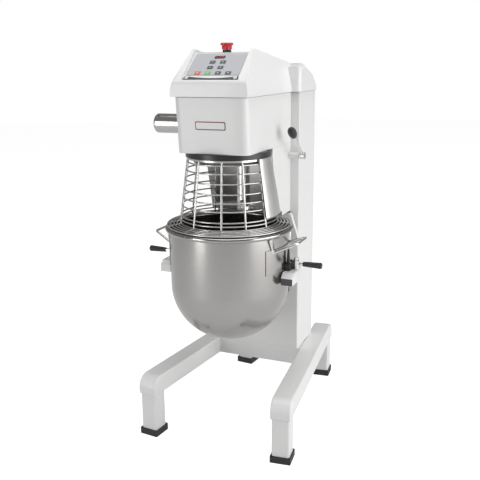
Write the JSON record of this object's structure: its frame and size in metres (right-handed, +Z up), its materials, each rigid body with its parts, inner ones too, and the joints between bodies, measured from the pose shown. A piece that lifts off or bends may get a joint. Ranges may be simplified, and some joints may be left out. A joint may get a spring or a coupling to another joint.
{
  "type": "commercial stand mixer",
  "caption": "Floor-standing planetary mixer on splayed legs, with a lever-lifted bowl in a fork yoke, a swinging wire guard, a side accessory drive and a sloping keypad.",
  "frame": {"origin": "middle of the footprint on the floor, under the machine", "axes": "+Z up, -Y to the front where the bowl and keypad are, +X to the side with the lifting lever"},
  "size_m": [0.656, 0.835, 1.371],
  "materials": {
    "white_enamel": "fine powder coat, satin white",
    "lid_plastic": "moulded, semi-gloss white",
    "brushed_stainless": "brushed round the axis",
    "polished_stainless": "polished",
    "black_rubber": "matt",
    "black_plastic": "satin moulded",
    "ground_steel": "ground, oiled",
    "cast_iron": "machined casting",
    "bronze": "sintered bronze",
    "motor_aluminium": "cast fins",
    "panel_film": "satin keypad film",
    "charcoal_trim": "satin",
    "badge_film": "clear-coated blank badge",
    "red_plastic": "moulded red",
    "stop_orange": "satin key cap",
    "start_green": "satin key cap",
    "key_grey": "satin key cap"
  },
  "bodies": {
    "stand_and_head": {"side_beam_left": "white_enamel", "side_beam_right": "white_enamel", "leg_tubes": "white_enamel", "rubber_feet": "black_rubber", "base_plinth": "white_enamel", "column_shell": "white_enamel", "column_rear_cover": "white_enamel", "cover_screws": "polished_stainless", "guide_rods": "ground_steel", "neck_housing": "white_enamel", "head_casing": "white_enamel", "top_cover": "lid_plastic", "control_panel": "panel_film", "panel_trim_strip": "charcoal_trim", "nameplate": "badge_film", "estop_collar": "black_plastic", "gearbox_case": "cast_iron", "shaft_bearings": "ground_steel", "ring_gear": "ground_steel", "accessory_hub": "polished_stainless", "drive_belt": "black_rubber", "gear_motor": "motor_aluminium", "guard_collar": "black_plastic", "splash_sheet": "brushed_stainless", "lift_shaft_bearings": "white_enamel"},
    "lift_carriage": {"carriage_plate": "white_enamel", "slide_block": "cast_iron", "slide_bushes": "bronze", "bowl_yoke": "white_enamel", "bowl_horns": "black_plastic", "clamp_posts": "polished_stainless"},
    "mixing_bowl": {"bowl": "brushed_stainless", "bowl_side_plates": "brushed_stainless", "bowl_lugs": "black_plastic", "bowl_handles": "polished_stainless"},
    "right_clamp": {"right_clamp_latch": "polished_stainless", "right_clamp_grip": "black_plastic"},
    "left_clamp": {"left_clamp_latch": "polished_stainless", "left_clamp_grip": "black_plastic"},
    "lift_handle": {"lift_shaft": "ground_steel", "lift_crank": "ground_steel", "lift_lever": "polished_stainless", "lever_knob": "black_plastic"},
    "planetary_head": {"planetary_drum": "cast_iron", "main_shaft": "ground_steel", "driven_pulley": "ground_steel"},
    "tool_drive": {"tool_spindle": "polished_stainless", "planet_gear": "ground_steel"},
    "motor_output": {"motor_pulley": "ground_steel"},
    "hub_drive": {"hub_drive_shaft": "ground_steel"},
    "guard": {"guard_cage": "polished_stainless"},
    "emergency_stop": {"estop_button": "red_plastic"},
    "speed_down_button": {"speed_down_key": "key_grey"},
    "speed_up_button": {"speed_up_key": "key_grey"},
    "time_down_button": {"time_down_key": "key_grey"},
    "time_up_button": {"time_up_key": "key_grey"},
    "stop_button": {"stop_key": "stop_orange"},
    "start_button": {"start_key": "start_green"},
    "program_button": {"program_key": "key_grey"},
    "light_button": {"light_key": "key_grey"}
  },
  "joints": [
    {"name": "carriage_slide", "type": "slide", "parent": "stand_and_head", "child": "lift_carriage", "axis": [0, 0, 1], "range_m": [-0.12, 0]},
    {"name": "lift_lever_turn", "type": "hinge", "parent": "stand_and_head", "child": "lift_handle", "pos_m": [0.177, 0.059, 0.981], "axis": [1, 0, 0], "range_deg": [-90.05, 0]},
    {"name": "bowl_removal", "type": "slide", "parent": "lift_carriage", "child": "mixing_bowl", "axis": [0, -1, 0], "range_m": [0, 0.45]},
    {"name": "right_clamp_turn", "type": "hinge", "parent": "lift_carriage", "child": "right_clamp", "pos_m": [0.238, -0.179, 0.651], "axis": [0, 0, 1], "range_deg": [-90, 0]},
    {"name": "left_clamp_turn", "type": "hinge", "parent": "lift_carriage", "child": "left_clamp", "pos_m": [-0.238, -0.179, 0.651], "axis": [0, 0, 1], "range_deg": [0, 90]},
    {"name": "guard_swing", "type": "hinge", "parent": "stand_and_head", "child": "guard", "pos_m": [0, -0.197, 0.98], "axis": [0, 0, 1], "range_deg": [-120, 0]},
    {"name": "planetary_spin", "type": "hinge", "parent": "stand_and_head", "child": "planetary_head", "pos_m": [0, -0.197, 1], "axis": [0, 0, 1], "continuous": true},
    {"name": "tool_spin", "type": "hinge", "parent": "planetary_head", "child": "tool_drive", "pos_m": [0.054, -0.197, 0.9], "axis": [0, 0, 1], "continuous": true},
    {"name": "motor_spin", "type": "hinge", "parent": "stand_and_head", "child": "motor_output", "pos_m": [0, -0.004, 1.165], "axis": [0, 0, 1], "continuous": true},
    {"name": "hub_spin", "type": "hinge", "parent": "stand_and_head", "child": "hub_drive", "pos_m": [-0.1, -0.197, 1.107], "axis": [1, 0, 0], "continuous": true},
    {"name": "emergency_stop_press", "type": "slide", "parent": "stand_and_head", "child": "emergency_stop", "axis": [0, 0, -1], "range_m": [0, 0.004]},
    {"name": "speed_down_button_press", "type": "slide", "parent": "stand_and_head", "child": "speed_down_button", "axis": [0, 0.6347, -0.7727], "range_m": [0, 0.0008], "stiffness_N_per_m": 1500, "springref_m": -0.0005},
    {"name": "speed_up_button_press", "type": "slide", "parent": "stand_and_head", "child": "speed_up_button", "axis": [0, 0.6347, -0.7727], "range_m": [0, 0.0008], "stiffness_N_per_m": 1500, "springref_m": -0.0005},
    {"name": "time_down_button_press", "type": "slide", "parent": "stand_and_head", "child": "time_down_button", "axis": [0, 0.6347, -0.7727], "range_m": [0, 0.0008], "stiffness_N_per_m": 1500, "springref_m": -0.0005},
    {"name": "time_up_button_press", "type": "slide", "parent": "stand_and_head", "child": "time_up_button", "axis": [0, 0.6347, -0.7727], "range_m": [0, 0.0008], "stiffness_N_per_m": 1500, "springref_m": -0.0005},
    {"name": "stop_button_press", "type": "slide", "parent": "stand_and_head", "child": "stop_button", "axis": [0, 0.6347, -0.7727], "range_m": [0, 0.0008], "stiffness_N_per_m": 1500, "springref_m": -0.0005},
    {"name": "start_button_press", "type": "slide", "parent": "stand_and_head", "child": "start_button", "axis": [0, 0.6347, -0.7727], "range_m": [0, 0.0008], "stiffness_N_per_m": 1500, "springref_m": -0.0005},
    {"name": "program_button_press", "type": "slide", "parent": "stand_and_head", "child": "program_button", "axis": [0, 0.6347, -0.7727], "range_m": [0, 0.0008], "stiffness_N_per_m": 1500, "springref_m": -0.0005},
    {"name": "light_button_press", "type": "slide", "parent": "stand_and_head", "child": "light_button", "axis": [0, 0.6347, -0.7727], "range_m": [0, 0.0008], "stiffness_N_per_m": 1500, "springref_m": -0.0005}
  ],
  "couplings": [
    {"joint": "lift_lever_turn", "follows": "carriage_slide", "rad_per_m": 13.09},
    {"joint": "tool_spin", "follows": "planetary_spin", "ratio": -2.5},
    {"joint": "motor_spin", "follows": "planetary_spin", "ratio": 2.6667},
    {"joint": "hub_spin", "follows": "planetary_spin", "ratio": -1}
  ]
}
